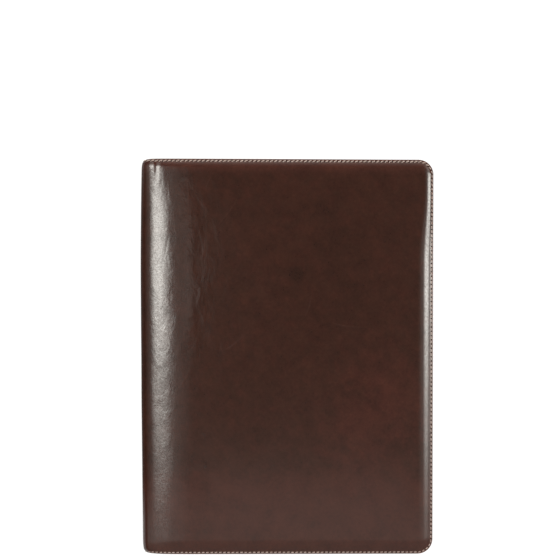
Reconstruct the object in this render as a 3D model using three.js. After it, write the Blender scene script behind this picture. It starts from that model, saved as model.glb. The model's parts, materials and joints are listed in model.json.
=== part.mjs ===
// A leather document case for A4 sheets, closed and lying on its back cover.
// One padded leather cover runs from the front round the soft spine to the back. Its padding rolls
// down to a flat stitched seam at the head, the foot and the fore-edge. Two lining panels and a
// spine strip face the inside, and the case stays open at the head, the foot and the fore-edge.
// X runs from the spine to the fore-edge, Y from the foot to the head, Z up from the table.
import * as THREE from 'three';

// Driving dimensions, in millimetres.
const caseWidth = 252;
const caseHeight = 339;
const spineThickness = 25;
const foreEdgeThickness = 16.5;

const coverThickness = 4; // leather over foam and board
const spineWall = 2.2; // leather and its backing round the spine, with no board
const seamThickness = 1.6; // leather at the stitched seam, where the padding has ended
const seamWidth = 2.6;
const paddingRoll = 9.4; // width over which the padding rolls down to the seam
const cornerRadius = 13;

const frontShoulder = 46; // width of the spine's curve on the front cover
const backShoulder = 24; // the same on the back cover, which the table flattens
const spineEndRadius = 4.2; // rounding of the spine at the head and the foot
const footDrawIn = 2.8; // how far the spine draws in towards the foot
const headDrawIn = 0.9; // and towards the head

const liningThickness = 1;
const liningSetBack = 0.5; // the lining stops this far inside the cover's edge
const seatGap = 0.3;

// Shape numbers without a length.
const fullestHeight = 0.77; // height of the spine's fullest place, as a share of the case's height
const footEasing = 1.3;
const headEasing = 2;
const rollFullness = 2.6; // 1 is a straight slope, more is a rounder shoulder of padding
const footReach = 0.54; // handle of the spine's curve at the foot, as a share of the curve's width
const headReach = 0.66; // the same at the head, where the padding is fuller
const reachEasing = 2.5;
const spineBluntness = 0.75; // the curve's other handle, as a share of its height
const boardEnds = 0.1; // shares of the spine's curve between which the board thins out
const wallStarts = 0.6;

const halfWidth = caseWidth / 2;
const halfHeight = caseHeight / 2;
const spineMiddle = spineThickness / 2;
const frontRun = caseWidth - frontShoulder;
const backRun = caseWidth - backShoulder;
const frontShoulderX = frontShoulder - halfWidth;
const backShoulderX = backShoulder - halfWidth;
const frontFall = (spineThickness - foreEdgeThickness) / frontRun;
const frontNormal = new THREE.Vector2(frontFall, 1).normalize();

// Height on the cover as a share of the case's height.
function heightShare(y) {
  return 0.5 + y / caseHeight;
}

// The plan: how far the spine and the fore-edge reach at a height on the cover.
function spineX(y) {
  const up = heightShare(y);
  const drawIn = up < fullestHeight
    ? footDrawIn * Math.pow((fullestHeight - up) / fullestHeight, footEasing)
    : headDrawIn * Math.pow((up - fullestHeight) / (1 - fullestHeight), headEasing);
  const intoRounding = Math.max(0, spineEndRadius - (halfHeight - Math.abs(y)));
  const rounding = spineEndRadius - Math.sqrt(Math.max(0, spineEndRadius ** 2 - intoRounding ** 2));
  return -halfWidth + drawIn + rounding;
}

function foreEdgeX(y, setBack) {
  const radius = cornerRadius - setBack;
  const intoCorner = Math.max(0, Math.abs(y) - (halfHeight - cornerRadius));
  return halfWidth - cornerRadius + Math.sqrt(Math.max(0, radius ** 2 - intoCorner ** 2));
}

// Distance in plan from a place on a cover to its nearest edge, round the corner as well.
function edgeDistance(x, y) {
  const fromForeEdge = halfWidth - x;
  const fromEnd = halfHeight - Math.abs(y);
  if (fromForeEdge < cornerRadius && fromEnd < cornerRadius) {
    return cornerRadius - Math.hypot(cornerRadius - fromForeEdge, cornerRadius - fromEnd);
  }
  return Math.min(fromForeEdge, fromEnd);
}

// Share of the padding that is left at a distance from the edge: none on the seam, all past the roll.
function paddingShare(distance) {
  const across = THREE.MathUtils.clamp((distance - seamWidth) / paddingRoll, 0, 1);
  return 1 - Math.pow(1 - across, rollFullness);
}

// Wall thickness on the spine's curve, from the board's edge to the bare leather.
function shoulderThickness(share) {
  const thinned = THREE.MathUtils.smoothstep(share, boardEnds, wallStarts);
  return THREE.MathUtils.lerp(coverThickness, spineWall, thinned);
}

// The spine's curve on one cover, from the flat of the cover to the spine's outermost line.
function shoulderCurve(y, side) {
  const outermost = new THREE.Vector2(spineX(y), spineMiddle);
  const start = side === 'front'
    ? new THREE.Vector2(frontShoulderX, spineThickness)
    : new THREE.Vector2(backShoulderX, 0);
  const width = start.x - outermost.x;
  const rise = side === 'front' ? frontFall : 0;
  const reach = THREE.MathUtils.lerp(footReach, headReach, Math.pow(heightShare(y), reachEasing));
  const towardsSpine = new THREE.Vector2(-1, rise).multiplyScalar(width * reach);
  const towardsCover = new THREE.Vector2(0, (start.y - outermost.y) * spineBluntness);
  return new THREE.CubicBezierCurve(
    start, start.clone().add(towardsSpine), outermost.clone().add(towardsCover), outermost,
  );
}

// One station of the cover's section at height y: its outer point with full padding, the outward
// normal, the wall's thickness and the distance to the edge. share runs along each stretch in
// the order front, front_shoulder, back_shoulder, back, from the front's fore-edge to the back's.
function sectionAt({ stretch, share }, y, setBack) {
  const foreEdge = foreEdgeX(y, setBack);
  if (stretch === 'front') {
    const x = THREE.MathUtils.lerp(foreEdge, frontShoulderX, share);
    const point = new THREE.Vector2(x, spineThickness - (x - frontShoulderX) * frontFall);
    return { point, normal: frontNormal, thickness: coverThickness, distance: edgeDistance(x, y) };
  }
  if (stretch === 'back') {
    const x = THREE.MathUtils.lerp(backShoulderX, foreEdge, share);
    const point = new THREE.Vector2(x, 0);
    const normal = new THREE.Vector2(0, -1);
    return { point, normal, thickness: coverThickness, distance: edgeDistance(x, y) };
  }
  const onFront = stretch === 'front_shoulder';
  const along = onFront ? share : 1 - share;
  const curve = shoulderCurve(y, onFront ? 'front' : 'back');
  const towardsSpine = curve.getTangent(along);
  const normal = onFront
    ? new THREE.Vector2(towardsSpine.y, -towardsSpine.x)
    : new THREE.Vector2(-towardsSpine.y, towardsSpine.x);
  return {
    point: curve.getPoint(along),
    normal,
    thickness: shoulderThickness(along),
    distance: halfHeight - Math.abs(y),
  };
}

// A point of a surface that lies a depth below the section's outer line.
function sunk({ point, normal }, depth, y) {
  return [point.x - normal.x * depth, y, point.y - normal.y * depth];
}

// A closed wall between two surfaces over the same grid of columns (round the section) and rows
// (up the case), faceted with two triangles to a cell.
function thickSheet(columns, rows, outerAt, innerAt) {
  const positions = [];
  for (const pointAt of [outerAt, innerAt]) {
    for (const y of rows) {
      for (const column of columns) positions.push(...pointAt(column, y));
    }
  }
  const lastColumn = columns.length - 1;
  const lastRow = rows.length - 1;
  const outer = (row, column) => row * columns.length + column;
  const inner = (row, column) => rows.length * columns.length + outer(row, column);
  const indices = [];
  const quad = (a, b, c, d) => indices.push(a, b, c, a, c, d);
  for (let r = 0; r < lastRow; r++) {
    for (let c = 0; c < lastColumn; c++) {
      quad(outer(r, c), outer(r + 1, c), outer(r + 1, c + 1), outer(r, c + 1));
      quad(inner(r, c), inner(r, c + 1), inner(r + 1, c + 1), inner(r + 1, c));
    }
    quad(outer(r + 1, 0), outer(r, 0), inner(r, 0), inner(r + 1, 0));
    quad(outer(r, lastColumn), outer(r + 1, lastColumn), inner(r + 1, lastColumn), inner(r, lastColumn));
  }
  for (let c = 0; c < lastColumn; c++) {
    quad(outer(0, c), outer(0, c + 1), inner(0, c + 1), inner(0, c));
    quad(outer(lastRow, c + 1), outer(lastRow, c), inner(lastRow, c), inner(lastRow, c + 1));
  }
  const geometry = new THREE.BufferGeometry();
  geometry.setAttribute('position', new THREE.Float32BufferAttribute(positions, 3));
  geometry.setIndex(indices);
  geometry.computeVertexNormals();
  return geometry;
}

// Stations, closest where the form turns. A corner gets even angles of its arc, and the roll of
// padding gets lines that crowd towards the seam.
const closestRows = 0.25;
const rollShares = [0, 0.1, 0.28, 0.52, 1];
const rollLines = rollShares.map((share) => seamWidth + paddingRoll * share);
const cornerSteps = 6;
const cornerLines = Array.from(
  { length: cornerSteps + 1 },
  (_, i) => cornerRadius * (1 - Math.cos((i / cornerSteps) * (Math.PI / 2))),
);
const spineEndSteps = 3;
const spineEndLines = Array.from(
  { length: spineEndSteps },
  (_, i) => spineEndRadius * (1 - Math.cos(((i + 1) / spineEndSteps) * (Math.PI / 2))),
);
const heightShares = [0.12, 0.26, 0.4, 0.53, 0.65, fullestHeight, 0.9];

function rowsWithin(setBack) {
  const fromEnd = [setBack, ...cornerLines, ...spineEndLines, ...rollLines]
    .filter((line) => line >= setBack)
    .sort((a, b) => a - b)
    .filter((line, i, lines) => i === 0 || line - lines[i - 1] > closestRows);
  const middle = heightShares
    .map((share) => (share - 0.5) * caseHeight)
    .filter((y) => halfHeight - Math.abs(y) > fromEnd.at(-1));
  const foot = fromEnd.map((line) => line - halfHeight);
  const head = fromEnd.map((line) => halfHeight - line).reverse();
  return [...foot, ...middle, ...head];
}

function stationsOf(stretch, shares) {
  return shares.map((share) => ({ stretch, share }));
}

function evenShares(steps) {
  return Array.from({ length: steps }, (_, i) => (i + 1) / steps);
}

const frontColumns = stationsOf('front', [0, ...rollLines.map((line) => line / frontRun), 0.4, 0.7, 1]);
const frontShoulderColumns = stationsOf('front_shoulder', evenShares(9));
const backShoulderColumns = stationsOf('back_shoulder', evenShares(8));
const backColumns = stationsOf(
  'back', [0.3, 0.6, ...rollLines.map((line) => 1 - line / backRun).reverse(), 1],
);

// Finishes, as seen in the case's own leather.
const glazedLeather = new THREE.MeshStandardMaterial({ color: 0x40281f, roughness: 0.32, metalness: 0 });
const liningLeather = new THREE.MeshStandardMaterial({ color: 0x3a251d, roughness: 0.75, metalness: 0 });

function piece(name, geometry, material) {
  const mesh = new THREE.Mesh(geometry, material);
  mesh.name = name;
  return mesh;
}

// The outer cover: front, spine and back in one padded sheet of leather.
function makeOuterCover() {
  const outerAt = (column, y) => {
    const section = sectionAt(column, y, 0);
    const padding = section.thickness - seamThickness;
    return sunk(section, padding * (1 - paddingShare(section.distance)), y);
  };
  const innerAt = (column, y) => {
    const section = sectionAt(column, y, 0);
    return sunk(section, section.thickness, y);
  };
  const columns = [...frontColumns, ...frontShoulderColumns, ...backShoulderColumns, ...backColumns];
  return thickSheet(columns, rowsWithin(0), outerAt, innerAt);
}

// A lining of even thickness that follows the cover's inner face at the seat gap.
function makeLining(columns) {
  const faceAt = (depth) => (column, y) => {
    const section = sectionAt(column, y, liningSetBack);
    return sunk(section, section.thickness + seatGap + depth, y);
  };
  return thickSheet(columns, rowsWithin(liningSetBack), faceAt(0), faceAt(liningThickness));
}

const frontPanel = stationsOf('front', [0, 1 - seatGap / frontRun]);
const spineStrip = [
  ...stationsOf('front_shoulder', [0]), ...frontShoulderColumns, ...backShoulderColumns,
];
const backPanel = stationsOf('back', [seatGap / backRun, 1]);

const documentCase = new THREE.Group();
documentCase.add(
  piece('outer_cover', makeOuterCover(), glazedLeather),
  piece('front_lining', makeLining(frontPanel), liningLeather),
  piece('spine_lining', makeLining(spineStrip), liningLeather),
  piece('back_lining', makeLining(backPanel), liningLeather),
);

export default documentCase;
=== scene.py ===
import bpy
import json
import numpy as np
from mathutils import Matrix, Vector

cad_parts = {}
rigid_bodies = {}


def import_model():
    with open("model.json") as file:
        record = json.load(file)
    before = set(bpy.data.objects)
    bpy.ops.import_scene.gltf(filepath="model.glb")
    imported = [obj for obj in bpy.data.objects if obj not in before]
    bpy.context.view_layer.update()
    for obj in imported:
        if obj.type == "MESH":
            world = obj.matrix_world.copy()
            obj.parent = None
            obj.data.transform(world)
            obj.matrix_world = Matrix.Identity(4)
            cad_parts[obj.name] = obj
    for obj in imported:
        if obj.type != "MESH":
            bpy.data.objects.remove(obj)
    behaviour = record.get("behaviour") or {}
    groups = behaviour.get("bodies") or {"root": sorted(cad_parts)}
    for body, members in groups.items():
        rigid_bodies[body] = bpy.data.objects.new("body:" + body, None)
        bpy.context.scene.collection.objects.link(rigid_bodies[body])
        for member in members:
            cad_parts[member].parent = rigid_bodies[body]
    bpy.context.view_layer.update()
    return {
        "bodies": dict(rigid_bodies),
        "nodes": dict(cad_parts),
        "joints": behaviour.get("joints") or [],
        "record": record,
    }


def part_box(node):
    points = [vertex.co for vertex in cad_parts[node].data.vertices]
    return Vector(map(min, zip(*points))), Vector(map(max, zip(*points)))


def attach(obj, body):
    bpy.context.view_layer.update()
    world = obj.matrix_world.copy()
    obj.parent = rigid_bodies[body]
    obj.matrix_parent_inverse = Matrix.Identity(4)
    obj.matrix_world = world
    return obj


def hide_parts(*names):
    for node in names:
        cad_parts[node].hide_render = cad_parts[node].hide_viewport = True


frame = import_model()

# The outer cover. One hide of glazed calf runs from the front round the soft spine to the back. Foam and
# board pad both covers under it, and the padding rolls down to a flat seam at the head, the foot and the
# fore-edge. Its cut edges are dyed.
cover_low, cover_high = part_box("outer_cover")
half_width = (cover_high.x - cover_low.x) / 2
half_height = (cover_high.y - cover_low.y) / 2
spine_thickness = 0.025
fore_edge_thickness = 0.0165
cover_wall = 0.004
spine_wall = 0.0022
seam_wall = 0.0016
seam_width = 0.0026
padding_roll = 0.0108
roll_fullness = 2.6
corner_radius = 0.013
spine_end_radius = 0.0042
foot_draw_in = 0.0028
head_draw_in = 0.0009
fullest_height = 0.77
foot_easing = 1.3
head_easing = 2.0
front_shoulder_x = 0.046 - half_width
back_shoulder_x = 0.024 - half_width
front_fall = (spine_thickness - fore_edge_thickness) / (half_width - front_shoulder_x)
foot_reach, head_reach, reach_easing = 0.49, 0.66, 2.2
head_tightening, tightening_length = 0.34, 0.060
spine_bluntness = 0.75
board_ends, wall_starts = 0.1, 0.6
foot_bend, head_bend, bend_length, bend_rise = 0.0004, 0.0013, 0.009, 0.8


def smooth_share(value, low, high):
    """0 below low and 1 above high, joined by the cubic 3t^2 - 2t^3."""
    t = np.clip((value - low) / (high - low), 0, 1)
    return t * t * (3 - 2 * t)


def spine_reach(y):
    """X of the spine's outermost line at height y. It is fullest at fullest_height, draws in by a power law
    towards the foot and the head, and ends in a quarter circle at both."""
    up = 0.5 + y / (2 * half_height)
    below = np.clip((fullest_height - up) / fullest_height, 0, 1)
    above = np.clip((up - fullest_height) / (1 - fullest_height), 0, 1)
    drawn_in = foot_draw_in * below ** foot_easing + head_draw_in * above ** head_easing
    into_end = np.clip(spine_end_radius - (half_height - np.abs(y)), 0, spine_end_radius)
    return -half_width + drawn_in + spine_end_radius - np.sqrt(spine_end_radius ** 2 - into_end ** 2)


def fore_edge_reach(y, set_back):
    """X of the fore-edge at height y: straight, with a quarter circle at both corners."""
    radius = corner_radius - set_back
    into_corner = np.clip(np.abs(y) - (half_height - corner_radius), 0, radius)
    return half_width - corner_radius + np.sqrt(radius ** 2 - into_corner ** 2)


def edge_distance(x, y):
    """Distance in plan to the nearest edge of a cover, measured along the radius in a corner."""
    from_side = half_width - x
    from_end = half_height - np.abs(y)
    in_corner = (from_side < corner_radius) & (from_end < corner_radius)
    along_radius = corner_radius - np.hypot(corner_radius - from_side, corner_radius - from_end)
    return np.where(in_corner, along_radius, np.minimum(from_side, from_end))


def shoulder_curve(t, y, start_x, start_z, rise):
    """Cubic Bezier curve of the spine, from the flat of a cover at t = 0 to the spine's outermost line at
    t = 1. Its handle on the cover lengthens towards the head by a power law, and at the head's end more, by the
    square of the nearness to it. Gives x, z and their slopes."""
    end_x = spine_reach(y)
    end_z = spine_thickness / 2
    up = np.clip(0.5 + y / (2 * half_height), 0, 1)
    tightening = head_tightening * np.clip(1 - (half_height - y) / tightening_length, 0, 1) ** 2
    reach = (start_x - end_x) * (foot_reach + (head_reach - foot_reach) * up ** reach_easing + tightening)
    xs = (start_x, start_x - reach, end_x, end_x)
    zs = (start_z, start_z + reach * rise, end_z + (start_z - end_z) * spine_bluntness, end_z)

    def value(p):
        return (1 - t) ** 3 * p[0] + 3 * (1 - t) ** 2 * t * p[1] + 3 * (1 - t) * t * t * p[2] + t ** 3 * p[3]

    def slope(p):
        return (1 - t) ** 2 * (p[1] - p[0]) + 2 * (1 - t) * t * (p[2] - p[1]) + t * t * (p[3] - p[2])

    return value(xs), value(zs), slope(xs), slope(zs)


def section_line(place, y, set_back=0.0):
    """Outer line of the closed case with full padding. place runs round the section: 0 to 1 on the front from
    the fore-edge, 1 to 3 round the spine, 3 to 4 on the back. Round the spine its ends bend in by the square
    of their nearness. Gives x, z, the outward normal's x and z, the wall's thickness and the distance to the
    edge."""
    place, y = np.broadcast_arrays(np.asarray(place, float), np.asarray(y, float))
    fore_edge = fore_edge_reach(y, set_back)
    share = [np.clip(place - start, 0, 1) for start in range(4)]
    along_front, along_back = share[1], 1 - share[2]
    front_x = fore_edge + (front_shoulder_x - fore_edge) * share[0]
    front_z = spine_thickness - (front_x - front_shoulder_x) * front_fall
    back_x = back_shoulder_x + (fore_edge - back_shoulder_x) * share[3]
    upper_x, upper_z, upper_dx, upper_dz = shoulder_curve(
        along_front, y, front_shoulder_x, spine_thickness, front_fall)
    lower_x, lower_z, lower_dx, lower_dz = shoulder_curve(along_back, y, back_shoulder_x, 0.0, 0.0)
    zero, one = np.zeros_like(y), np.ones_like(y)
    stretch = np.clip(np.ceil(place).astype(int) - 1, 0, 3)

    def pick(*choices):
        return np.choose(stretch, choices)

    normal_x = pick(front_fall * one, upper_dz, -lower_dz, zero)
    normal_z = pick(one, -upper_dx, lower_dx, -one)
    length = np.hypot(normal_x, normal_z)
    from_end = half_height - np.abs(y)
    bend = np.where(y < 0, foot_bend, head_bend) * np.clip(1 - from_end / bend_length, 0, 1) ** 2
    bend = bend * smooth_share(1 - np.abs(place - 2), 0, bend_rise)
    x = pick(front_x, upper_x, lower_x, back_x) - normal_x / length * bend
    along = pick(zero, along_front, along_back, zero)
    wall = cover_wall + (spine_wall - cover_wall) * smooth_share(along, board_ends, wall_starts)
    distance = pick(edge_distance(x, y), from_end, from_end, edge_distance(x, y))
    z = pick(front_z, upper_z, lower_z, zero) - normal_z / length * bend
    return x, z, normal_x / length, normal_z / length, wall, distance


def sunk(line, y, depth):
    """Points that lie a depth below the section's outer line."""
    x, z, normal_x, normal_z = line[:4]
    return np.stack([x - normal_x * depth, np.broadcast_to(y, x.shape), z - normal_z * depth], -1)


# Slack of the hide over the foam: low waves, each a product of two sines. Round the spine they are fuller.
slack_waves = [dict(height=0.00003, spine_height=0.00008, across=0.118, up=0.190, turn=0.4),
               dict(height=0.00001, spine_height=0.00005, across=0.061, up=0.103, turn=2.1),
               dict(height=0.00001, spine_height=0.00002, across=0.031, up=0.061, turn=4.4)]
foam_crown = 0.0007

# Puckers where the hide is gathered round the spine's head and foot. place is along the section.
spine_puckers = [dict(end=1, place=1.335, lean=4.3, length=0.0150, depth=0.00034),
                 dict(end=1, place=1.24, lean=4.0, length=0.0060, depth=0.00006),
                 dict(end=1, place=1.62, lean=1.0, length=0.0055, depth=0.00010),
                 dict(end=-1, place=1.44, lean=2.5, length=0.0080, depth=0.00008),
                 dict(end=-1, place=1.60, lean=-1.5, length=0.0060, depth=0.00008)]
pucker_width = 0.032
side_inset, head_inset, foot_inset = 0.0013, 0.0018, 0.0015
stitch_press = 0.00022
stitch_press_width = 0.0007
cut_rounding = 0.0004
cut_rounding_width = 0.0007
rim_drop = 0.00030
taut_from, taut_to = 0.080, 0.142
taut_roll, taut_seam_wall, taut_seam_width, taut_fullness = 0.0058, 0.0024, 0.0014, 2.0
least_padding = 0.0003
spine_slack_from, spine_slack_to = 0.85, 1.15


def head_share(y):
    """0 at the foot and up the fore-edge, 1 at the head, smoothly joined in the head's corner."""
    return smooth_share(y, half_height - corner_radius, half_height - head_inset)


def stitch_inset(y):
    """Distance of the stitches from the edge: the hide is cut wider at the head and the foot."""
    return side_inset + (head_inset - side_inset) * head_share(y) + (foot_inset - side_inset) * head_share(-y)


def leather_face(place, y):
    """The hide's outer face. Below the full line lie the padding that the roll takes away, 1 - (1 - q)^p of it
    kept at a share q of the roll, the line that the thread presses in, the rounded cut edge, the seam's fall
    to its rim and the puckers. Towards the head the hide is taut, so the roll is narrower and lower.
    Above it stands the foam's crown, a product of two parabolas, with the slack waves."""
    line = section_line(place, y)
    x, wall, distance = line[0], line[4], line[5]
    place, y = np.broadcast_arrays(np.asarray(place, float), np.asarray(y, float))
    taut = smooth_share(y, taut_from, taut_to)
    flat = seam_width + (taut_seam_width - seam_width) * taut
    across_roll = np.clip((distance - flat) / (padding_roll + (taut_roll - padding_roll) * taut), 0, 1)
    padding = 1 - (1 - across_roll) ** (roll_fullness + (taut_fullness - roll_fullness) * taut)
    depth = np.maximum(wall - seam_wall - (taut_seam_wall - seam_wall) * taut, least_padding) * (1 - padding)
    depth += stitch_press * np.exp(-((distance - stitch_inset(y)) / stitch_press_width) ** 2)
    depth += cut_rounding * np.clip(1 - distance / cut_rounding_width, 0, 1) ** 2
    depth += rim_drop * np.clip(1 - distance / seam_width, 0, 1) ** 2
    on_top = smooth_share(3 - place, 0, 1) * padding
    raised = foam_crown * (1 - (x / half_width) ** 2) * (1 - (y / half_height) ** 2)
    round_spine = smooth_share(place, spine_slack_from, spine_slack_to)
    for wave in slack_waves:
        height = wave["height"] + (wave["spine_height"] - wave["height"]) * round_spine
        around = 2 * np.pi * x / wave["across"] + wave["turn"]
        raised = raised + height * np.sin(around) * np.sin(2 * np.pi * y / wave["up"] + 2 * wave["turn"])
    depth -= on_top * raised
    for pucker in spine_puckers:
        from_end = half_height - pucker["end"] * y
        beside = (place - pucker["place"] - pucker["lean"] * from_end) / pucker_width
        fading = np.exp(-(from_end / pucker["length"]) ** 2) * smooth_share(distance, side_inset, seam_width)
        depth += pucker["depth"] * np.exp(-beside ** 2) * fading
    return sunk(line, y, depth)


seam_step, seam_reach, step_growth, widest_step = 0.00023, 0.0035, 1.17, 0.003
widest_place_step, closest_place_step = 0.036, 0.009
puckered_place, puckered_width = 1.44, 0.17
spine_samples = 401


def edge_stations(reach):
    """Distances from an edge: even steps over the seam, then steps that grow by a fixed share to the widest."""
    even_steps = np.full(int(seam_reach / seam_step), seam_step)
    wider_steps = np.minimum(seam_step * step_growth ** np.arange(1, 200), widest_step)
    lines = np.concatenate([[0.0], np.cumsum(np.concatenate([even_steps, wider_steps]))])
    return np.append(lines[lines < reach - widest_step / 2], reach)


row_lines = edge_stations(half_height)
cover_rows = np.concatenate([row_lines - half_height, (half_height - row_lines)[-2::-1]])[:, None]
front_places = edge_stations(half_width - front_shoulder_x) / (half_width - front_shoulder_x)
even_places = np.linspace(1, 3, spine_samples)
crowding = np.exp(-((even_places - puckered_place) / puckered_width) ** 2) / closest_place_step
steps_so_far = np.cumsum((1 / widest_place_step + crowding) * (even_places[1] - even_places[0]))
steps_so_far -= steps_so_far[0]
spine_steps = int(steps_so_far[-1])
spine_places = np.interp(np.linspace(0, steps_so_far[-1], spine_steps + 1)[1:], steps_so_far, even_places)
back_places = 4 - (edge_stations(half_width - back_shoulder_x) / (half_width - back_shoulder_x))[-2::-1]
cover_places = np.concatenate([front_places, spine_places, back_places])[None, :]


sharp_angle = np.radians(50)


def sheet_mesh(name, outer, inner, materials):
    """One closed wall: a grid of points for each face, joined by a strip along each of the four sides. The
    materials are those of the outer face, the strips and the inner face."""
    rows, columns = outer.shape[:2]
    front = np.arange(rows * columns).reshape(rows, columns)
    back = front + rows * columns

    def strip(a, b):
        return np.stack([a[:-1], a[1:], b[1:], b[:-1]], -1)

    faces = [
        np.stack([front[:-1, :-1], front[1:, :-1], front[1:, 1:], front[:-1, 1:]], -1).reshape(-1, 4),
        np.concatenate([
            strip(front[::-1, 0], back[::-1, 0]), strip(front[:, -1], back[:, -1]),
            strip(front[0], back[0]), strip(front[-1, ::-1], back[-1, ::-1]),
        ]),
        np.stack([back[:-1, :-1], back[:-1, 1:], back[1:, 1:], back[1:, :-1]], -1).reshape(-1, 4),
    ]
    mesh = bpy.data.meshes.new(name)
    points = np.concatenate([outer.reshape(-1, 3), inner.reshape(-1, 3)])
    mesh.from_pydata(points.tolist(), [], np.concatenate(faces).tolist())
    for material in materials:
        mesh.materials.append(material)
    finish_of_face = np.repeat(np.arange(3), [len(group) for group in faces])
    mesh.polygons.foreach_set("material_index", finish_of_face.astype(np.int32))
    mesh.shade_smooth()
    mesh.set_sharp_from_angle(angle=sharp_angle)
    piece = bpy.data.objects.new(name, mesh)
    bpy.context.collection.objects.link(piece)
    return piece


def seam_lengths(side):
    """Lengths along the seam from the middle of the front's fore-edge to the middle of the back's, up the head
    side (1) or down the foot side (-1): where each stretch ends, and the spine's arc at its places."""
    round_spine = np.linspace(1, 3, 241)
    end_y = side * half_height
    arc = leather_face(round_spine, end_y - side * stitch_inset(end_y))
    arc_run = np.concatenate([[0], np.cumsum(np.linalg.norm(np.diff(arc, axis=0), axis=1))])
    straight = half_height - corner_radius
    corner = (corner_radius - side_inset) * np.pi / 2
    front_end = half_width - corner_radius - front_shoulder_x
    back_end = half_width - corner_radius - back_shoulder_x
    ends = np.cumsum([straight, corner, front_end, arc_run[-1], back_end, corner, straight])
    return ends, round_spine, arc_run


stitch_pitch = 0.00365
seam_sides = {side: seam_lengths(side) for side in (1, -1)}
seam_counts = {side: int(round(seam_sides[side][0][-1] / stitch_pitch)) for side in (1, -1)}


def plan_run(x, y):
    """Length along the seam in plan, from the middle of the fore-edge to the place beside which (x, y) lies:
    up the fore-edge, by the angle round the corner, then along the end."""
    up, over = np.abs(y) - (half_height - corner_radius), x - (half_width - corner_radius)
    corner = (corner_radius - side_inset) * np.arctan2(np.maximum(up, 0), np.maximum(over, 0))
    beside_end = (half_height - np.abs(y)) < (half_width - x)
    straight = half_height - corner_radius
    quarter = (corner_radius - side_inset) * np.pi / 2
    along_side = np.where(up < 0, np.abs(y), straight + corner)
    along_end = np.where(over < 0, straight + quarter - over, straight + corner)
    return np.where(beside_end, along_end, along_side)


def stitch_counter(place, y):
    """How many stitches lie along the seam up to a place on the hide. Whole numbers are needle holes."""
    place, y = np.broadcast_arrays(place, y)
    x = section_line(place, y)[0]
    counted = np.zeros_like(x)
    for side, (ends, round_spine, arc_run) in seam_sides.items():
        in_plan = plan_run(x, y)
        run = np.where(place <= 1, in_plan, ends[-1] - in_plan)
        run = np.where((place > 1) & (place < 3), ends[2] + np.interp(place, round_spine, arc_run), run)
        here = np.sign(y) == side
        counted = np.where(here, side * run * seam_counts[side] / ends[-1], counted)
    return counted


def node_maker(material):
    """Gives a function that adds a node, sets its inputs by name and links those given as sockets."""
    tree = material.node_tree

    def make(kind, settings=None, **inputs):
        node = tree.nodes.new("ShaderNode" + kind)
        for key, setting in (settings or {}).items():
            setattr(node, key, setting)
        for key, value in inputs.items():
            socket = node.inputs[int(key[1:])] if key[0] == "i" and key[1:].isdigit() else node.inputs[key]
            if isinstance(value, bpy.types.NodeSocket):
                tree.links.new(value, socket)
            else:
                socket.default_value = value
        return node

    return make


def new_material(name, **shader_values):
    """A material with its shader's uniform values set on the shader's own sockets."""
    material = bpy.data.materials.new(name)
    material.use_nodes = True
    shader = material.node_tree.nodes["Principled BSDF"]
    for key, value in shader_values.items():
        shader.inputs[key.replace("_", " ")].default_value = value
    return material, shader


def wire(shader, **sources):
    """Links sockets to the shader's inputs of those names."""
    for key, source in sources.items():
        shader.id_data.links.new(source, shader.inputs[key.replace("_", " ")])


def arithmetic(make):
    """Functions for one Math node each, so that a height or a share reads as a formula."""
    def math(operation, *values):
        return make("Math", {"operation": operation}, **{f"i{k}": v for k, v in enumerate(values)}).outputs[0]

    return math


def patches(make, place, size, detail=3.0, roughness=0.5, stretch=(1, 1, 1), distortion=0.0):
    """Noise from 0 to 1 whose patches are about size metres across, stretched along an axis where asked. It is
    turned, so that no plane of its lattice lies along the covers."""
    scaled = make("Mapping", {"vector_type": "POINT"}, Vector=place, Scale=stretch, Rotation=(0.5, 0.3, 0.8))
    noise = make("TexNoise", Vector=scaled.outputs[0], Scale=1 / size, Detail=detail,
                 Roughness=roughness, Distortion=distortion)
    return noise.outputs["Fac"]


def share_between(make, value, low, high):
    """0 where value is at low and 1 at high, smoothly joined and level beyond. Either may be the greater."""
    return make("MapRange", {"interpolation_type": "SMOOTHSTEP"}, Value=value,
                **{"From Min": low, "From Max": high}).outputs[0]


def mixed(make, share, first, second):
    """Colour between two, by a share."""
    mix = make("Mix", {"data_type": "RGBA"}, i0=share)
    tree = mix.id_data
    for socket, colour in ((mix.inputs[6], first), (mix.inputs[7], second)):
        if isinstance(colour, bpy.types.NodeSocket):
            tree.links.new(colour, socket)
        else:
            socket.default_value = (*colour, 1)
    return mix.outputs[2]


brown = (0.0332, 0.0112, 0.0067)
red_brown = (0.0354, 0.0113, 0.0071)
olive_brown = (0.0315, 0.0118, 0.0074)
dark_brown = (0.0230, 0.0087, 0.0055)
russet = (0.0560, 0.0150, 0.0100)
pale_brown = (0.1000, 0.0400, 0.0290)
# A painted glow of light, lighter and redder, for the roll at the head:
painted_head_glow = (0.0640, 0.0205, 0.0145)
# Painted shade for the needle holes:
hole_shade_brown = (0.0070, 0.0030, 0.0022)

# Marks of the skin and of wear, each by its middle, half its length and width, its turn and its bend.
creases = [dict(x=-0.0843, y=0.1395, length=0.0150, width=0.0007, turn=2, bend=0.6),
           dict(x=-0.0674, y=0.1495, length=0.0085, width=0.0007, turn=-24, bend=-0.5),
           dict(x=-0.0505, y=0.1230, length=0.0180, width=0.0008, turn=-37, bend=0.8),
           dict(x=-0.0824, y=0.0985, length=0.0036, width=0.0009, turn=38, bend=0.3),
           dict(x=-0.0750, y=0.1060, length=0.0042, width=0.0008, turn=-28, bend=0.2),
           dict(x=-0.0715, y=0.0890, length=0.0105, width=0.0022, turn=-14, bend=0.9),
           dict(x=0.0192, y=0.0437, length=0.0120, width=0.0007, turn=-17, bend=0.7),
           dict(x=0.0530, y=0.0262, length=0.0190, width=0.0007, turn=83, bend=-0.8),
           dict(x=-0.0440, y=0.0115, length=0.0130, width=0.0008, turn=-52, bend=0.9),
           dict(x=-0.0880, y=-0.0210, length=0.0140, width=0.0012, turn=-31, bend=0.7)]
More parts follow.
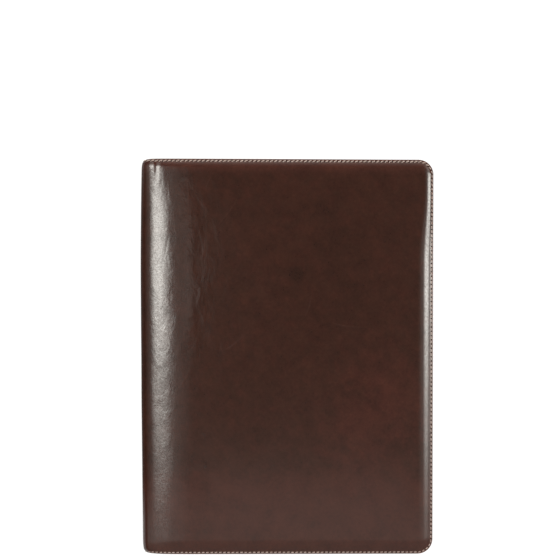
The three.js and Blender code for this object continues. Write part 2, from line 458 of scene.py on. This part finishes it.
stain = dict(x=0.0083, y=0.0715, length=0.0086, width=0.0080, turn=20, bend=0.0)
russet_patch = dict(x=0.0780, y=-0.0560, length=0.0760, width=0.0560, turn=-25, bend=0.0)


def mark_share(make, place, mark):
    """1 in the middle of a mark and 0 from its rim out: 1 - u^2 - v^2, u along it and v across, bent by u^2."""
    math = arithmetic(make)
    laid = make("Mapping", {"vector_type": "TEXTURE"}, Vector=place, Location=(mark["x"], mark["y"], 0),
                Rotation=(0, 0, np.radians(mark["turn"])), Scale=(mark["width"], mark["length"], 1))
    parts = make("SeparateXYZ", Vector=laid.outputs[0])
    u_squared = math("POWER", math("ABSOLUTE", parts.outputs["Y"]), 2.0)
    v = math("MULTIPLY_ADD", u_squared, mark["bend"] * mark["length"] / mark["width"] / 8, parts.outputs["X"])
    v_squared = math("POWER", math("ABSOLUTE", v), 2.0)
    return math("MAXIMUM", math("SUBTRACT", 1.0, math("ADD", u_squared, v_squared)), 0.0)


hole_length, hole_width = 0.00060, 0.00070


def glazed_calf():
    """Glazed calf: dye in clouds, flecks and specks of brown, mottled lighter and darker, with a redder patch,
    a stain, a few light creases and a rim that is lighter near the cut edges. A painted glow lights the roll at
    the head and a painted reflection lightens the leather towards the foot, both lighter and redder. It has a
    closed grain, soft folds beside the spine and a needle hole at each end of a stitch, darkened with painted
    shade, under a clear glaze that is worn off along the spine's outermost line."""
    material, shader = new_material("glazed_calf", Coat_Roughness=0.10, Specular_IOR_Level=0.04)
    make = node_maker(material)
    math = arithmetic(make)

    def read(attribute):
        return make("Attribute", {"attribute_name": attribute}).outputs["Fac"]

    place = make("TexCoord").outputs["Object"]
    parts = make("SeparateXYZ", Vector=place)
    clouds = patches(make, place, 0.026, detail=4, roughness=0.6)
    wide_clouds = patches(make, place, 0.060, detail=3)
    flecks = patches(make, place, 0.0062, detail=5, roughness=0.72)
    specks = patches(make, place, 0.0013, detail=2, roughness=0.6)
    streaks = patches(make, place, 0.0060, detail=3, stretch=(1, 0.12, 1))
    mottle = patches(make, place, 0.014, detail=4, roughness=0.70)
    fine_mottle = patches(make, place, 0.0026, detail=3, roughness=0.75)
    ragged = math("MULTIPLY_ADD", patches(make, place, 0.011, detail=5, roughness=0.7), 3.4, -1.9)
    in_patch = share_between(make, math("ADD", mark_share(make, place, russet_patch), ragged), -0.3, 1.4)
    stained = share_between(make, math("MULTIPLY_ADD", flecks, 0.3, mark_share(make, place, stain)), 0.15, 0.95)
    # Painted glow: the leather along the head's roll is made lighter and redder, as if lit from beyond the
    # head.
    at_head = share_between(make, parts.outputs["Y"], half_height - 0.0145, half_height - 0.0035)
    # Painted reflection: towards the foot the leather is made lighter and redder, as where a pale wall shines
    # in it.
    painted_foot_reflection = share_between(make, parts.outputs["Y"], -0.085, -0.120)
    creased = mark_share(make, place, creases[0])
    for crease in creases[1:]:
        creased = math("MAXIMUM", creased, mark_share(make, place, crease))
    # The leather is made lighter within about 3 mm of the cut edges.
    lighter_rim = share_between(make, read("edge_distance"), 0.0032, 0.0004)
    # Tints laid over the base colour: dyes and marks, and at the head and the foot painted light.
    tints_and_painted_light = [(share_between(make, clouds, 0.38, 0.66), 0.55, brown),
            (share_between(make, wide_clouds, 0.42, 0.70), 0.30, dark_brown),
            (share_between(make, specks, 0.56, 0.78), 0.16, dark_brown),
            (share_between(make, streaks, 0.55, 0.85), 0.20, red_brown),
            (in_patch, 0.65, russet),
            (stained, 0.75, dark_brown),
            (at_head, 0.75, painted_head_glow),
            (painted_foot_reflection, 0.45, russet),
            (creased, math("MULTIPLY", flecks, 0.20), pale_brown),
            (lighter_rim, math("MULTIPLY_ADD", flecks, 0.8, 0.3), pale_brown)]
    colour = mixed(make, share_between(make, flecks, 0.36, 0.64), red_brown, olive_brown)
    for share, strength, tint in tints_and_painted_light:
        colour = mixed(make, math("MULTIPLY", share, strength), colour, tint)
    shade = math("MULTIPLY_ADD", mottle, 0.90, math("MULTIPLY_ADD", fine_mottle, 0.80, 0.15))
    colour = make("VectorMath", {"operation": "SCALE"}, i0=colour, Scale=shade).outputs[0]

    # Each needle hole is darkened with painted shade and sunk by the bump.
    to_hole = math("ABSOLUTE", math("SUBTRACT", math("FRACT", math("ADD", read("stitch_count"), 0.5)), 0.5))
    along = math("MULTIPLY", to_hole, stitch_pitch / hole_length)
    across = math("DIVIDE", math("ABSOLUTE", read("stitch_offset")), hole_width)
    off_hole = math("SQRT", math("ADD", math("POWER", along, 2.0), math("POWER", across, 2.0)))
    hole = share_between(make, off_hole, 1.1, 0.35)
    colour = mixed(make, hole, colour, hole_shade_brown)

    grain = patches(make, place, 0.00085, detail=2, roughness=0.5)
    pebble = patches(make, place, 0.0024, detail=2, roughness=0.55)
    drape = patches(make, place, 0.0085, detail=3, roughness=0.55, stretch=(1, 0.55, 1), distortion=0.5)
    near_spine = share_between(make, parts.outputs["X"], -0.030, -0.085)
    taut_foot = share_between(make, parts.outputs["Y"], -0.120, -0.010)
    draped = math("MULTIPLY", near_spine, math("MULTIPLY_ADD", taut_foot, 0.00011, 0.00003))
    reliefs = [(grain, 0.000005), (pebble, 0.000014), (drape, math("ADD", draped, 0.000010)),
               (streaks, 0.000006), (creased, 0.000018), (hole, -0.00035)]
    height = 0.0
    for share, metres in reliefs:
        height = math("MULTIPLY_ADD", share, metres, height)
    bump = make("Bump", Height=height, Strength=1.0, Distance=1.0)
    dull_pores = math("MULTIPLY_ADD", share_between(make, flecks, 0.45, 0.75), -0.20, 1.0)
    pitted = math("MULTIPLY_ADD", specks, -1.5, 1.68)
    glaze = math("MULTIPLY", read("glaze"), math("MULTIPLY", dull_pores, pitted))
    roughness = math("MULTIPLY_ADD", flecks, 0.14, 0.27)
    wire(shader, Base_Color=colour, Roughness=roughness, Normal=bump.outputs[0], Coat_Weight=glaze,
         Coat_Normal=bump.outputs[0])
    return material


def dyed_edge():
    """Dye and wax on a cut edge: nearly black brown, uneven, with the fibres of the cut just showing."""
    material, shader = new_material("dyed_edge")
    make = node_maker(material)
    math = arithmetic(make)
    place = make("TexCoord").outputs["Object"]
    fibres = patches(make, place, 0.0016, detail=4, roughness=0.65, stretch=(1, 1, 4))
    uneven = patches(make, place, 0.009, detail=2)
    colour = mixed(make, uneven, (0.016, 0.0075, 0.005), (0.034, 0.015, 0.010))
    bump = make("Bump", Height=math("MULTIPLY", fibres, 0.00012), Strength=1.0, Distance=1.0)
    roughness = math("MULTIPLY_ADD", fibres, 0.3, 0.35)
    wire(shader, Base_Color=colour, Roughness=roughness, Normal=bump.outputs[0])
    return material


def flesh_side():
    """The hide's flesh side and the glued board, behind the linings: dull, rough and brown."""
    material, shader = new_material("flesh_side", Roughness=0.9)
    make = node_maker(material)
    math = arithmetic(make)
    place = make("TexCoord").outputs["Object"]
    nap = patches(make, place, 0.0012, detail=4, roughness=0.7)
    bump = make("Bump", Height=math("MULTIPLY", nap, 0.00015), Strength=1.0, Distance=1.0)
    colour = mixed(make, nap, (0.05, 0.028, 0.018), (0.09, 0.052, 0.034))
    wire(shader, Base_Color=colour, Normal=bump.outputs[0])
    return material


edge_dye = dyed_edge()
cover_line = section_line(cover_places, cover_rows)
padded_cover = sheet_mesh(
    "padded_cover", leather_face(cover_places, cover_rows),
    sunk(cover_line, cover_rows, cover_line[4]), [glazed_calf(), edge_dye, flesh_side()],
)
bare_from, bare_to = 0.16, 0.50
glazed_foot, bare_above = -0.150, -0.105
cover_fields = {
    "stitch_count": stitch_counter(cover_places, cover_rows),
    "edge_distance": cover_line[5],
    "stitch_offset": cover_line[5] - stitch_inset(cover_rows),
    "glaze": 1 - (1 - smooth_share(np.abs(cover_places - 2), bare_from, bare_to))
    * smooth_share(cover_rows, glazed_foot, bare_above),
}
for attribute, values in cover_fields.items():
    layer = padded_cover.data.attributes.new(attribute, "FLOAT", "POINT")
    layer.data.foreach_set("value", np.concatenate([values.ravel()] * 2).astype(np.float32))
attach(padded_cover, "root")
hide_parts("outer_cover")

# The linings. A panel of thin matt leather faces the inside of each cover, and a strip of it lines the
# spine's curve between them. They are sewn to the hide at the seam and cut just inside its edge.
lining_thickness = 0.001
lining_set_back = 0.0005
seat_gap = 0.0003


def lining_face(place, y, depth):
    """A lining's face: the cover's inner line at the seat gap, and a depth further in."""
    line = section_line(place, y, lining_set_back)
    return sunk(line, y, line[4] + seat_gap + depth)


def lining_leather():
    """Thin matt leather with a small pressed pebble grain."""
    material, shader = new_material("lining_leather")
    make = node_maker(material)
    math = arithmetic(make)
    place = make("TexCoord").outputs["Object"]
    pebbles = make("TexVoronoi", {"feature": "SMOOTH_F1"}, Vector=place, Scale=1 / 0.0011, Smoothness=0.6)
    clouds = patches(make, place, 0.022, detail=3)
    height = math("MULTIPLY", pebbles.outputs["Distance"], -0.00010)
    bump = make("Bump", Height=height, Strength=1.0, Distance=1.0)
    colour = mixed(make, clouds, (0.036, 0.017, 0.011), (0.052, 0.024, 0.016))
    roughness = math("MULTIPLY_ADD", clouds, 0.2, 0.5)
    wire(shader, Base_Color=colour, Roughness=roughness, Normal=bump.outputs[0])
    return material


matt_lining = lining_leather()
lining_rows = np.clip(cover_rows, lining_set_back - half_height, half_height - lining_set_back)
lining_rows = np.unique(lining_rows)[:, None]
front_run = half_width - front_shoulder_x
back_run = half_width - back_shoulder_x
lining_places = {
    "front_lining": front_places * (1 - seat_gap / front_run),
    "spine_lining": np.append(1.0, spine_places),
    "back_lining": 3 + seat_gap / back_run + (np.append(3.0, back_places) - 3) * (1 - seat_gap / back_run),
}
for node, places in lining_places.items():
    inward = [lining_face(places[None, :], lining_rows, depth) for depth in (0.0, lining_thickness)]
    lining = sheet_mesh(node.replace("lining", "lining_leather"), *inward, [matt_lining, edge_dye, matt_lining])
    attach(lining, "root")
    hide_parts(node)

# The seam. Waxed linen thread is lockstitched through hide and lining close to every edge, and runs round both
# ends of the spine. Every stitch slants from the needle hole on its inner side to the one on its outer side.
even_length, head_length = 0.0027, 0.0037
stitch_slimness, stitch_flatness = 0.30, 0.19
even_slant, head_slant = np.radians(8), np.radians(28)
stitch_sides, stitch_rings = 8, 7
stitch_lift, stitch_dive, stitch_end = 0.32, 0.75, 0.97


def seam_place(run, inset, side):
    """Place and height on the hide for a length along the seam and a distance from the edge: up the fore-edge,
    round the corner by angle, along the end, round the spine by arc, and the same on the back."""
    ends, round_spine, arc_run = seam_sides[side]
    whole = ends[-1]
    on_back = run > ends[3]
    plan = np.where(on_back, whole - run, run)
    angle = np.clip((plan - ends[0]) / (corner_radius - side_inset), 0, np.pi / 2)
    beyond = np.clip(plan - ends[1], 0, None)
    x = half_width - corner_radius + (corner_radius - inset) * np.cos(angle) - beyond
    y = np.where(plan < ends[0], plan, half_height - corner_radius + (corner_radius - inset) * np.sin(angle))
    fore_edge = fore_edge_reach(y, 0.0)
    front_share = (fore_edge - x) / (fore_edge - front_shoulder_x)
    back_share = (x - back_shoulder_x) / (fore_edge - back_shoulder_x)
    place = np.where(on_back, 3 + back_share, front_share)
    round_it = (run > ends[2]) & (run <= ends[3])
    place = np.where(round_it, np.interp(run - ends[2], arc_run, round_spine), place)
    return place, side * y


def seam_frames(face, side):
    """Centre of each stitch on a face, with its unit vectors along the seam, out to the edge and off the face,
    from small steps along and across the seam, and its slant and length."""
    count = seam_counts[side]
    whole = seam_sides[side][0][-1]
    run = (np.arange(count) + 0.5) * whole / count
    step = 0.0002

    def at(ahead, inset):
        return face(*seam_place(run + ahead, inset, side))

    def unit(vectors):
        return vectors / np.linalg.norm(vectors, axis=-1, keepdims=True)

    heights = seam_place(run, side_inset, side)[1]
    inset = stitch_inset(heights)
    along = unit(side * (at(step, inset) - at(-step, inset)))
    outward = unit(at(0, inset - step) - at(0, inset + step))
    at_head = head_share(heights)[:, None]
    slant = even_slant + (head_slant - even_slant) * at_head
    length = even_length + (head_length - even_length) * at_head
    return at(0, inset), along, outward, unit(np.cross(outward, along)), slant, length


def stitch_mesh(name, frames, hand, material):
    """Every stitch of a seam in one mesh. A stitch is a flattened thread whose radius follows (1 - a^4)^(1/2)
    along it and whose ends dive into the needle holes by a^4. hand is 1 where it slants out to the edge."""
    centre, along, outward, off, slant, length = (
        np.concatenate(part)[:, None, None, :] for part in zip(*frames))
    a = np.linspace(-stitch_end, stitch_end, stitch_rings)[:, None]
    around = np.linspace(0, 2 * np.pi, stitch_sides, endpoint=False)[None, :]
    radius = np.sqrt(1 - a ** 4)
    lengthwise = length / 2 * (a * np.ones_like(around))[None, ..., None]
    crosswise = stitch_slimness * length / 2 * (radius * np.cos(around))[None, ..., None]
    rise = radius * np.sin(around) / 2 + stitch_lift - stitch_dive * a ** 4
    upwards = stitch_flatness * length * rise[None, ..., None]
    lean, level = hand * np.sin(slant), np.cos(slant)
    points = (centre + lengthwise * (level * along - lean * outward)
              + crosswise * (lean * along + level * outward) + upwards * off)
    stitches = points.shape[0]
    index = np.arange(points[..., 0].size).reshape(stitches, stitch_rings, stitch_sides)
    turned = np.roll(index, -1, axis=2)
    quads = np.stack([index[:, :-1], index[:, 1:], turned[:, 1:], turned[:, :-1]], -1).reshape(-1, 4)
    if np.cross(outward[0, 0, 0], along[0, 0, 0]) @ off[0, 0, 0] > 0:
        quads = quads[:, ::-1]
    caps = [index[:, 0].tolist(), index[:, -1, ::-1].tolist()]
    mesh = bpy.data.meshes.new(name)
    mesh.from_pydata(points.reshape(-1, 3).tolist(), [], quads.tolist() + caps[0] + caps[1])
    mesh.materials.append(material)
    mesh.shade_smooth()
    thread = bpy.data.objects.new(name, mesh)
    bpy.context.collection.objects.link(thread)
    return thread


def linen_thread():
    """Waxed linen thread: pale beige with a fibrous grain, a soft nap and patches of dirt."""
    material, shader = new_material("linen_thread", Roughness=0.55, Sheen_Weight=0.2)
    make = node_maker(material)
    math = arithmetic(make)
    place = make("TexCoord").outputs["Object"]
    fibre = patches(make, place, 0.0004, detail=3, roughness=0.6)
    soiled = patches(make, place, 0.007, detail=2)
    colour = mixed(make, fibre, (0.33, 0.250, 0.218), (0.53, 0.425, 0.382))
    colour = mixed(make, math("MULTIPLY", soiled, 0.45), colour, (0.27, 0.185, 0.155))
    bump = make("Bump", Height=math("MULTIPLY", fibre, 0.00010), Strength=1.0, Distance=1.0)
    wire(shader, Base_Color=colour, Normal=bump.outputs[0])
    return material


thread_material = linen_thread()
seam_faces = {
    "cover_stitching": (leather_face, 1),
    "lining_stitching": (lambda place, y: lining_face(place, y, lining_thickness), -1),
}
for name, (face, hand) in seam_faces.items():
    frames = [seam_frames(face, side) for side in (1, -1)]
    frames = [(*frame[:3], hand * frame[3], *frame[4:]) for frame in frames]
    thread = stitch_mesh(name, frames, hand, thread_material)
    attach(thread, "root")

# The table that the case lies on. It is plain and gives off an even light of its own, so that it looks white
# and the case casts only a faint shade on it.
table_across, table_below = 12, 0.0002
table_grey, table_glow = 0.14, 0.92
bpy.ops.mesh.primitive_plane_add(size=table_across, location=(0, 0, -table_below))
table = bpy.context.object
table.name = "table"
table_paint, table_shader = new_material("table_paint", Roughness=0.7, Emission_Strength=table_glow)
table_shader.inputs["Base Color"].default_value = (table_grey, table_grey, table_grey, 1)
table_shader.inputs["Emission Color"].default_value = (1, 1, 1, 1)
table.data.materials.append(table_paint)

# The room's light, set by its direction. A soft box with a faint surround hangs over the spine and another over
# the fore-edge. Both fade towards the foot and beyond the head. A faint panel hangs overhead, and pale walls
# stand beyond the foot and the head, dark low down. A lean is in degrees off the vertical, towards +X.
scene = bpy.context.scene
scene.view_settings.view_transform = "Standard"
world = scene.world or bpy.data.worlds.new("studio")
scene.world = world
world.use_nodes = True
sky = node_maker(world)
sky_math = arithmetic(sky)
lamp_white = (1.0, 0.985, 0.925)
box_radiance, surround_radiance, panel_radiance, room_radiance = 14.5, 0.95, 0.75, 0.10
soft_boxes = [dict(face=(-48, -30, -25, -10), surround=(-84, -46, -13, 3.5), gain=1.0),
              dict(face=(25, 43, 50, 68), surround=(8, 22, 66, 86), gain=1.10)]
panel_lean, panel_along = (-6, -1, 0.3, 3.0), (-0.040, -0.008, 0.024, 0.044)
face_steps = [(0.50, -0.108, -0.036), (0.51, -0.040, -0.008), (-0.88, 0.05, 0.19)]
surround_steps = [(0.72, -0.10, -0.035)]
wall_steps = [(0.10, -0.02, -0.08), (0.62, -0.084, -0.100), (-0.30, -0.105, -0.22)]
towards = sky("SeparateXYZ", Vector=sky("TexCoord").outputs["Generated"])
over, along, up = (towards.outputs[axis] for axis in "XYZ")
lean = sky_math("DEGREES", sky_math("ARCTAN2", over, up))


def within(value, limits):
    """1 between the two inner limits and 0 beyond the outer ones, smoothly joined."""
    rising, falling = share_between(sky, value, *limits[:2]), share_between(sky, value, *limits[:1:-1])
    return sky_math("MULTIPLY", rising, falling)


def added(total, weight, share):
    """A total with a weighted share added to it."""
    return sky_math("MULTIPLY_ADD", share, weight, total)


def stepped(total, steps):
    """A total with steps added, each given by its weight and the directions along the case it rises between."""
    for weight, low, high in steps:
        total = added(total, weight, share_between(sky, along, low, high))
    return total


face_fade = sky_math("MULTIPLY", stepped(0.006, face_steps), share_between(sky, along, 0.62, 0.45))
surround_fade = sky_math("MULTIPLY", stepped(0.28, surround_steps), share_between(sky, along, 0.24, 0.07))
surround_fade = sky_math("MULTIPLY", surround_fade, share_between(sky, along, -0.26, -0.12))
radiance = added(room_radiance, 0.02, share_between(sky, up, 0.85, 0.15))
for box in soft_boxes:
    face = sky_math("MULTIPLY", within(lean, box["face"]), face_fade)
    surround = sky_math("MULTIPLY", within(lean, box["surround"]), surround_fade)
    radiance = added(radiance, box_radiance * box["gain"], face)
    radiance = added(radiance, surround_radiance, surround)
overhead = sky_math("MULTIPLY", within(lean, panel_lean), within(along, panel_along))
radiance = added(radiance, panel_radiance, overhead)
head_wall = sky_math("MULTIPLY", sky_math("POWER", sky_math("MAXIMUM", along, 0.0), 3.0), 2.7)
walls = stepped(head_wall, wall_steps)
radiance = added(radiance, walls, share_between(sky, up, 0.26, 0.48))
background = world.node_tree.nodes["Background"]
background.inputs["Color"].default_value = (*lamp_white, 1)
world.node_tree.links.new(radiance, background.inputs["Strength"])

# The camera looks straight down from 2 m above the front cover, over a point between its middle and the head.
# It is turned a little, so that the case lies turned in the frame.
camera_height, camera_x, camera_y = 2.0, -0.0059, 0.0657
camera_turn = np.radians(0.15)
frame_across = 0.4793
camera_data = bpy.data.cameras.new("camera")
camera_data.sensor_width = 36
camera_data.lens = camera_data.sensor_width * camera_height / frame_across
camera = bpy.data.objects.new("camera", camera_data)
camera.location = (camera_x, camera_y, spine_thickness + camera_height)
camera.rotation_euler.z = camera_turn
scene.collection.objects.link(camera)
scene.camera = camera
